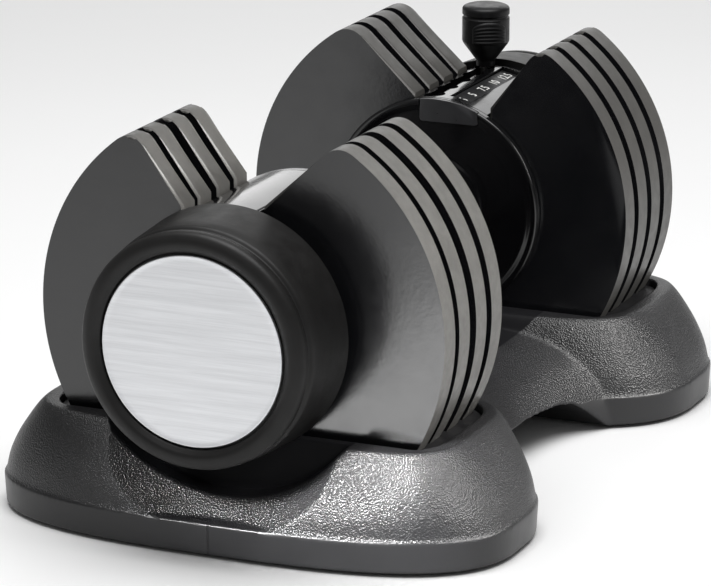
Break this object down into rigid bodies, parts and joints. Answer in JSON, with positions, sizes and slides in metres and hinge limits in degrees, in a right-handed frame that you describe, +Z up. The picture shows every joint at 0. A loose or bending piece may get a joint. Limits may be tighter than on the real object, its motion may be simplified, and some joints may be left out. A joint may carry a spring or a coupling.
{
  "type": "adjustable dumbbell with storage cradle",
  "caption": "Adjustable dumbbell in its cradle: slotted round plates at each end, capped heads, and a knob that slides along a gate to hook the plates to the handle.",
  "frame": {"origin": "centre of the footprint on the floor, under the middle of the bar", "axes": "+X along the bar toward the head with the selector knob, +Y across the bar to the left of +X, on the knob side of the scale, +Z up"},
  "size_m": [0.327, 0.2028, 0.1509],
  "materials": {
    "plate_coat": "satin powder coat, blue-grey black, edges worn lighter",
    "gloss_black": "polished black moulding",
    "cap_plastic": "fine matt grain, warm dark grey",
    "brushed_badge": "straight brushed",
    "cradle_plastic": "coarse leather-like grain, charcoal",
    "rack_plastic": "plain matt black",
    "knob_plastic": "satin black",
    "strip_black": "matt black with white numerals",
    "steel": "ground steel",
    "zinc_steel": "zinc plated",
    "grip_rubber": "matt black rubber",
    "foot_rubber": "matt black rubber"
  },
  "bodies": {
    "cradle": {"cradle_shell": "cradle_plastic", "plate_rack_far": "rack_plastic", "plate_rack_near": "rack_plastic", "cradle_base_plate_far": "rack_plastic", "cradle_base_plate_near": "rack_plastic", "foot_far_left": "foot_rubber", "foot_far_right": "foot_rubber", "foot_near_left": "foot_rubber", "foot_near_right": "foot_rubber"},
    "handle_unit": {"grip_tube": "steel", "grip_sleeve": "grip_rubber", "pinion_pin": "steel", "gate_cover": "gloss_black", "number_strip": "strip_black", "top_cover_near": "gloss_black", "inner_flange_far": "gloss_black", "flange_tab_far": "gloss_black", "bar_guide_far": "rack_plastic", "head_spine_far": "rack_plastic", "end_cap_far": "cap_plastic", "end_badge_far": "brushed_badge", "cap_bolt_far": "zinc_steel", "cap_back_plate_far": "zinc_steel", "inner_flange_near": "gloss_black", "flange_tab_near": "gloss_black", "bar_guide_near": "rack_plastic", "head_spine_near": "rack_plastic", "end_cap_near": "cap_plastic", "end_badge_near": "brushed_badge", "cap_bolt_near": "zinc_steel", "cap_back_plate_near": "zinc_steel"},
    "selector_carriage": {"selector_bar_far": "steel", "selector_post": "zinc_steel"},
    "knob": {"selector_knob": "knob_plastic", "knob_shaft": "steel", "knob_thumb_pad_front": "knob_plastic", "knob_thumb_pad_back": "knob_plastic"},
    "near_bar": {"selector_bar_near": "steel"},
    "pinion_gear": {"pinion": "steel"},
    "plate_far_1": {"weight_plate_far_1": "plate_coat"},
    "plate_far_2": {"weight_plate_far_2": "plate_coat"},
    "plate_far_3": {"weight_plate_far_3": "plate_coat"},
    "plate_far_4": {"weight_plate_far_4": "plate_coat"},
    "plate_near_1": {"weight_plate_near_1": "plate_coat"},
    "plate_near_2": {"weight_plate_near_2": "plate_coat"},
    "plate_near_3": {"weight_plate_near_3": "plate_coat"},
    "plate_near_4": {"weight_plate_near_4": "plate_coat"}
  },
  "joints": [
    {"name": "handle_lift", "type": "slide", "parent": "cradle", "child": "handle_unit", "axis": [0, 0, 1], "range_m": [0, 0.15]},
    {"name": "selector_slide", "type": "slide", "parent": "handle_unit", "child": "selector_carriage", "axis": [1, 0, 0], "range_m": [-0.0548, 0]},
    {"name": "knob_press", "type": "slide", "parent": "selector_carriage", "child": "knob", "axis": [0, 0, 1], "range_m": [-0.0024, 0]},
    {"name": "near_bar_slide", "type": "slide", "parent": "handle_unit", "child": "near_bar", "axis": [1, 0, 0], "range_m": [0, 0.0548]},
    {"name": "pinion_turn", "type": "hinge", "parent": "handle_unit", "child": "pinion_gear", "pos_m": [0, 0, 0.081], "axis": [0, 0, 1], "range_deg": [-628.5, 0]},
    {"name": "plate_far_1_lift", "type": "slide", "parent": "cradle", "child": "plate_far_1", "axis": [0, 0, 1], "range_m": [0, 0.15]},
    {"name": "plate_far_2_lift", "type": "slide", "parent": "cradle", "child": "plate_far_2", "axis": [0, 0, 1], "range_m": [0, 0.15]},
    {"name": "plate_far_3_lift", "type": "slide", "parent": "cradle", "child": "plate_far_3", "axis": [0, 0, 1], "range_m": [0, 0.15]},
    {"name": "plate_far_4_lift", "type": "slide", "parent": "cradle", "child": "plate_far_4", "axis": [0, 0, 1], "range_m": [0, 0.15]},
    {"name": "plate_near_1_lift", "type": "slide", "parent": "cradle", "child": "plate_near_1", "axis": [0, 0, 1], "range_m": [0, 0.15]},
    {"name": "plate_near_2_lift", "type": "slide", "parent": "cradle", "child": "plate_near_2", "axis": [0, 0, 1], "range_m": [0, 0.15]},
    {"name": "plate_near_3_lift", "type": "slide", "parent": "cradle", "child": "plate_near_3", "axis": [0, 0, 1], "range_m": [0, 0.15]},
    {"name": "plate_near_4_lift", "type": "slide", "parent": "cradle", "child": "plate_near_4", "axis": [0, 0, 1], "range_m": [0, 0.15]}
  ],
  "couplings": [
    {"joint": "near_bar_slide", "follows": "selector_slide", "ratio": -1},
    {"joint": "pinion_turn", "follows": "selector_slide", "rad_per_m": 200},
    {"joint": "plate_far_1_lift", "follows": "handle_lift", "ratio": 1},
    {"joint": "plate_far_2_lift", "follows": "handle_lift", "ratio": 1},
    {"joint": "plate_far_3_lift", "follows": "handle_lift", "ratio": 1},
    {"joint": "plate_far_4_lift", "follows": "handle_lift", "ratio": 1},
    {"joint": "plate_near_1_lift", "follows": "handle_lift", "ratio": 1},
    {"joint": "plate_near_2_lift", "follows": "handle_lift", "ratio": 1},
    {"joint": "plate_near_3_lift", "follows": "handle_lift", "ratio": 1},
    {"joint": "plate_near_4_lift", "follows": "handle_lift", "ratio": 1}
  ]
}
